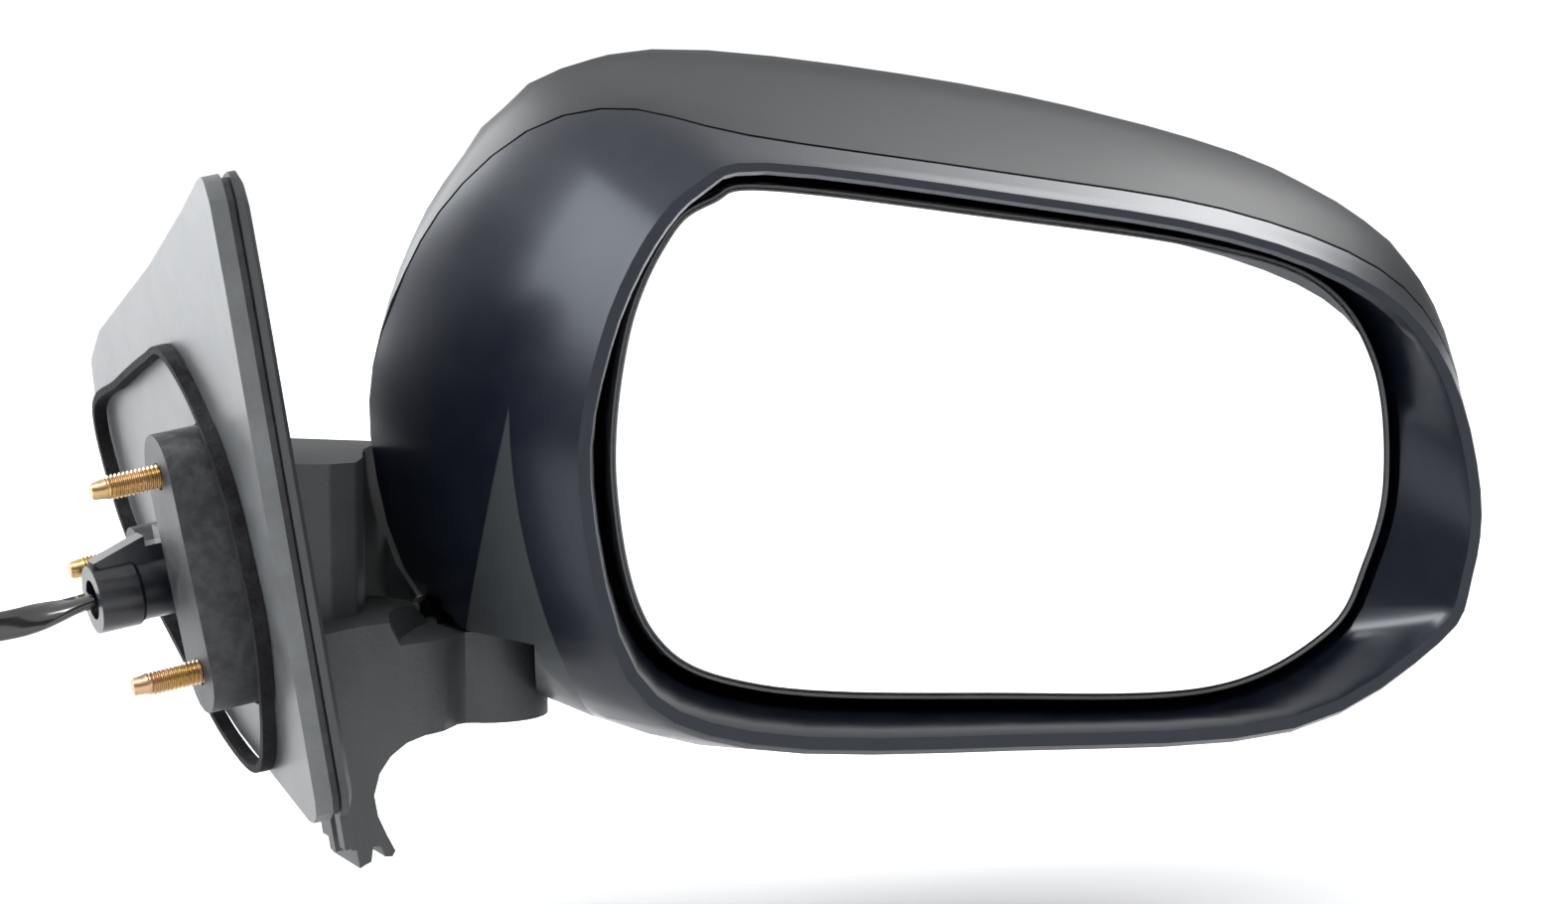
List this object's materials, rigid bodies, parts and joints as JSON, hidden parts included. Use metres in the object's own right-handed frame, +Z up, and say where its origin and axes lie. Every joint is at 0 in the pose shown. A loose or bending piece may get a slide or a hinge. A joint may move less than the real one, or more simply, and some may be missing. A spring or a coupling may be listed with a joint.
{
  "type": "car side mirror",
  "caption": "Left-hand door mirror: sail-mounted arm, fold pivot with detent spring, hollow head with screw-adjusted glass, studs, gasket and wiring lead.",
  "frame": {"origin": "middle of the door seat, on the face that the door carries, between the two rear studs", "axes": "+X outboard from the door, +Y towards the front of the car, +Z up; the glass faces -Y"},
  "size_m": [0.3985, 0.1534, 0.2133],
  "materials": {
    "shell_plastic": "satin moulded",
    "cap_plastic": "satin moulded",
    "textured_plastic": "fine leather grain",
    "sail_plastic": "satin moulded back face",
    "cast_base": "glass-filled nylon, dusty",
    "edge_rubber": "matt",
    "seal_foam": "open-cell foam",
    "zinc_yellow": "yellow chromated zinc plate",
    "bright_steel": "turned",
    "white_nylon": "natural nylon",
    "black_nylon": "moulded",
    "mirror_silver": "silvered",
    "harness_sleeve": "braided sleeve"
  },
  "bodies": {
    "base": {"base_bracket": "cast_base", "arm_cover": "textured_plastic", "sail_cover": "textured_plastic", "sail_backplate": "sail_plastic", "edge_seal": "edge_rubber", "door_gasket": "seal_foam", "stud_upper": "zinc_yellow", "stud_lower": "zinc_yellow", "stud_front": "zinc_yellow", "harness_guide": "black_nylon", "pivot_tube": "bright_steel", "detent_washer": "bright_steel", "fold_spring": "bright_steel", "spring_retainer": "bright_steel", "harness": "harness_sleeve", "harness_coil": "harness_sleeve", "harness_tie": "black_nylon", "harness_connector": "black_nylon"},
    "head": {"housing": "shell_plastic", "cap": "cap_plastic", "head_frame": "black_nylon", "foot_shroud": "textured_plastic", "actuator_case": "black_nylon", "actuator_cover": "black_nylon", "motor_pan": "bright_steel", "motor_tilt": "bright_steel", "worm_pan": "white_nylon", "worm_tilt": "white_nylon"},
    "yoke": {"pivot_yoke": "black_nylon"},
    "glass": {"mirror_glass": "mirror_silver", "glass_carrier": "black_nylon"},
    "jackscrew_pan": {"jackscrew_pan": "white_nylon"},
    "jackscrew_tilt": {"jackscrew_tilt": "white_nylon"},
    "nut_gear_pan": {"nut_gear_pan": "white_nylon"},
    "nut_gear_tilt": {"nut_gear_tilt": "white_nylon"}
  },
  "joints": [
    {"name": "head_fold", "type": "hinge", "parent": "base", "child": "head", "pos_m": [0.07616, 0.0015, -0.00099], "axis": [0, 0, 1], "range_deg": [-42, 6]},
    {"name": "glass_tilt", "type": "hinge", "parent": "head", "child": "yoke", "pos_m": [0.19016, -0.0285, 0.02751], "axis": [1, 0, 0], "range_deg": [-6, 6]},
    {"name": "glass_pan", "type": "hinge", "parent": "yoke", "child": "glass", "pos_m": [0.19016, -0.0285, 0.02751], "axis": [0, 0, 1], "range_deg": [-6, 6]},
    {"name": "pan_screw", "type": "slide", "parent": "head", "child": "jackscrew_pan", "axis": [0, 1, 0], "range_m": [-0.00261, 0.00261]},
    {"name": "tilt_screw", "type": "slide", "parent": "head", "child": "jackscrew_tilt", "axis": [0, 1, 0], "range_m": [-0.00261, 0.00261]},
    {"name": "pan_gear", "type": "hinge", "parent": "head", "child": "nut_gear_pan", "pos_m": [0.21416, -0.0445, 0.02751], "axis": [0, 1, 0], "range_deg": [-151.8, 151.8]},
    {"name": "tilt_gear", "type": "hinge", "parent": "head", "child": "nut_gear_tilt", "pos_m": [0.19016, -0.0445, 0.05151], "axis": [0, 1, 0], "range_deg": [-151.8, 151.8]}
  ],
  "couplings": [
    {"joint": "pan_screw", "follows": "glass_pan", "m_per_rad": 0.024},
    {"joint": "tilt_screw", "follows": "glass_tilt", "m_per_rad": -0.024},
    {"joint": "pan_gear", "follows": "glass_pan", "ratio": 25.133},
    {"joint": "tilt_gear", "follows": "glass_tilt", "ratio": -25.133}
  ]
}
